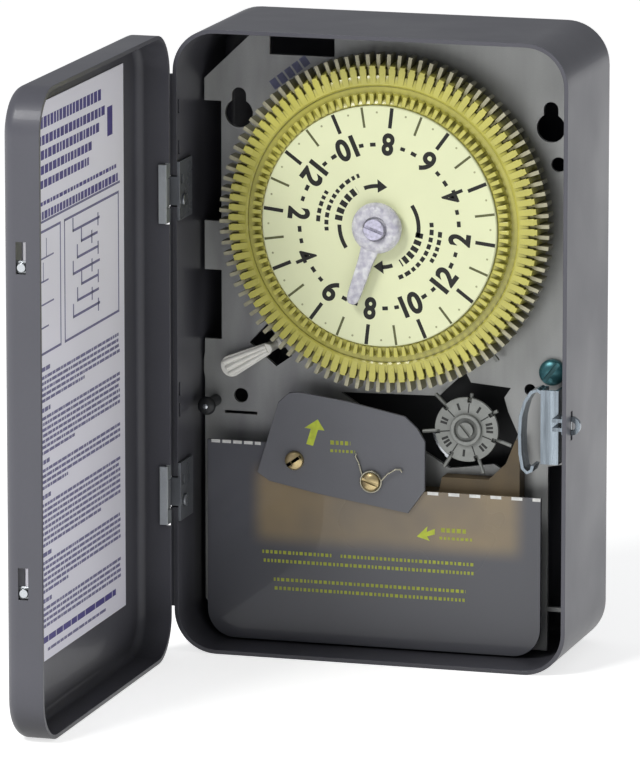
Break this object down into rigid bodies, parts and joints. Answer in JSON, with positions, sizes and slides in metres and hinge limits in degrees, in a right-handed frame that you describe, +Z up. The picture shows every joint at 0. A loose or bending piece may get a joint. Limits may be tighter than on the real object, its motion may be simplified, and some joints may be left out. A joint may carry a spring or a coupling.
{
  "type": "dial time switch",
  "caption": "Sheet-steel wall case with a hinged door, a motor-driven 24-hour tripper dial, a seven-day skipping wheel, a manual switch lever and a covered terminal board.",
  "frame": {"origin": "centre of the rear wall's outer face, where the case meets the wall", "axes": "+Z up, +Y into the wall, so the open front faces -Y; +X to the right seen from the front"},
  "size_m": [0.14, 0.1847, 0.197],
  "materials": {
    "enamel": "smooth baked grey enamel",
    "zinc_plate": "dull grey-green zinc plating",
    "bright_steel": "bright zinc plating",
    "hinge_steel": "plain plated strip",
    "green_screw": "green passivated screw",
    "dark_steel": "dark phosphated steel",
    "label_card": "printed card",
    "brass": "turned brass",
    "clear_plastic": "clear moulded plastic",
    "wheel_metal": "dull stamped aluminium",
    "face_plastic": "cream printed plastic",
    "yellow_plastic": "moulded yellow plastic",
    "tripper_metal": "stamped strip",
    "motor_shell": "drawn plated can",
    "coil_tape": "varnished tape",
    "lead_insulation": "soft insulation",
    "lever_plastic": "white moulded plastic",
    "phenolic": "brown phenolic board",
    "silver_contact": "silver rivet",
    "smoked_sheet": "smoked sheet",
    "pointer_paint": "satin grey paint",
    "spring_wire": "spring wire"
  },
  "bodies": {
    "case": {"case_body": "enamel", "mounting_posts": "zinc_plate", "post_screws": "bright_steel", "ground_screw": "green_screw", "side_stud": "dark_steel", "hinge_case_leaves": "hinge_steel", "hinge_pins": "bright_steel", "case_leaf_rivets": "bright_steel", "chassis_plate": "zinc_plate", "rear_plate": "dark_steel", "plate_pillars": "brass", "dial_arbor": "bright_steel", "time_pointer": "clear_plastic", "pointer_screw": "bright_steel", "lever_stud": "bright_steel", "day_stud": "wheel_metal", "motor_can": "motor_shell", "motor_coil": "coil_tape", "motor_core": "dark_steel", "motor_screws": "bright_steel", "motor_leads": "lead_insulation", "detent_spring": "bright_steel", "fixed_contact": "brass", "terminal_board": "phenolic", "terminal_screws": "bright_steel", "terminal_clamps": "brass", "insulator_cover": "smoked_sheet", "cover_posts": "bright_steel", "pointer_plate": "pointer_paint", "brass_screws": "brass", "wire_spring": "spring_wire"},
    "door": {"door_shell": "enamel", "hinge_door_leaves": "hinge_steel", "door_label": "label_card", "door_catch_clips": "bright_steel"},
    "dial": {"dial_face": "face_plastic", "dial_front_ring": "yellow_plastic", "dial_rear_ring": "yellow_plastic", "dial_hub": "brass", "dial_gear": "brass", "trippers": "tripper_metal", "day_kicker": "wheel_metal"},
    "tripper_a": {"tripper_1": "tripper_metal"},
    "tripper_b": {"tripper_2": "tripper_metal"},
    "tripper_c": {"tripper_3": "tripper_metal"},
    "pinion": {"motor_pinion": "brass"},
    "day_wheel_body": {"day_wheel": "wheel_metal", "day_carrier": "wheel_metal"},
    "switch_lever": {"manual_lever": "lever_plastic", "switch_arm": "phenolic", "moving_contact": "silver_contact"},
    "latch": {"latch_clip": "bright_steel"},
    "pin_1": {"day_pin_1": "wheel_metal"},
    "pin_2": {"day_pin_2": "wheel_metal"},
    "pin_3": {"day_pin_3": "wheel_metal"},
    "pin_4": {"day_pin_4": "wheel_metal"},
    "pin_5": {"day_pin_5": "wheel_metal"},
    "pin_6": {"day_pin_6": "wheel_metal"},
    "pin_7": {"day_pin_7": "wheel_metal"}
  },
  "joints": [
    {"name": "door_hinge", "type": "hinge", "parent": "case", "child": "door", "pos_m": [-0.0648, -0.0569, 0], "axis": [0, 0, 1], "range_deg": [-70, 90]},
    {"name": "dial_turn", "type": "hinge", "parent": "case", "child": "dial", "pos_m": [0.0007, -0.034, 0.038], "axis": [0, 1, 0], "continuous": true},
    {"name": "pinion_turn", "type": "hinge", "parent": "case", "child": "pinion", "pos_m": [-0.00555, -0.03, 0.00255], "axis": [0, 1, 0], "continuous": true},
    {"name": "day_turn", "type": "hinge", "parent": "case", "child": "day_wheel_body", "pos_m": [0.026, -0.033, -0.0264], "axis": [0, 1, 0], "continuous": true},
    {"name": "lever_swing", "type": "hinge", "parent": "case", "child": "switch_lever", "pos_m": [-0.0244, -0.024, 0.0029], "axis": [0, 1, 0], "range_deg": [0, 10]},
    {"name": "latch_press", "type": "slide", "parent": "case", "child": "latch", "axis": [-1, 0, 0], "range_m": [0, 0.0025], "stiffness_N_per_m": 400},
    {"name": "tripper_tip_a", "type": "hinge", "parent": "dial", "child": "tripper_a", "pos_m": [-0.00984, -0.0374, 0.08319], "axis": [0.9739, 0, 0.2271], "range_deg": [0, 10]},
    {"name": "tripper_tip_b", "type": "hinge", "parent": "dial", "child": "tripper_b", "pos_m": [-0.04449, -0.0374, 0.02746], "axis": [-0.2271, 0, 0.9739], "range_deg": [0, 10]},
    {"name": "tripper_tip_c", "type": "hinge", "parent": "dial", "child": "tripper_c", "pos_m": [0.01124, -0.0374, -0.00719], "axis": [-0.9739, 0, -0.2271], "range_deg": [0, 10]},
    {"name": "pin_slide_1", "type": "slide", "parent": "day_wheel_body", "child": "pin_1", "axis": [0.1045, 0, 0.9945], "range_m": [0, 0.0036]},
    {"name": "pin_slide_2", "type": "slide", "parent": "day_wheel_body", "child": "pin_2", "axis": [-0.7124, 0, 0.7018], "range_m": [-0.0036, 0]},
    {"name": "pin_slide_3", "type": "slide", "parent": "day_wheel_body", "child": "pin_3", "axis": [-0.9928, 0, -0.1194], "range_m": [-0.0036, 0]},
    {"name": "pin_slide_4", "type": "slide", "parent": "day_wheel_body", "child": "pin_4", "axis": [-0.5257, 0, -0.8507], "range_m": [-0.0036, 0]},
    {"name": "pin_slide_5", "type": "slide", "parent": "day_wheel_body", "child": "pin_5", "axis": [0.3373, 0, -0.9414], "range_m": [-0.0036, 0]},
    {"name": "pin_slide_6", "type": "slide", "parent": "day_wheel_body", "child": "pin_6", "axis": [0.9463, 0, -0.3232], "range_m": [-0.0036, 0]},
    {"name": "pin_slide_7", "type": "slide", "parent": "day_wheel_body", "child": "pin_7", "axis": [0.8427, 0, 0.5384], "range_m": [0, 0.0036]}
  ],
  "couplings": [
    {"joint": "pinion_turn", "follows": "dial_turn", "ratio": -5},
    {"joint": "day_turn", "follows": "dial_turn", "ratio": -0.14286}
  ]
}
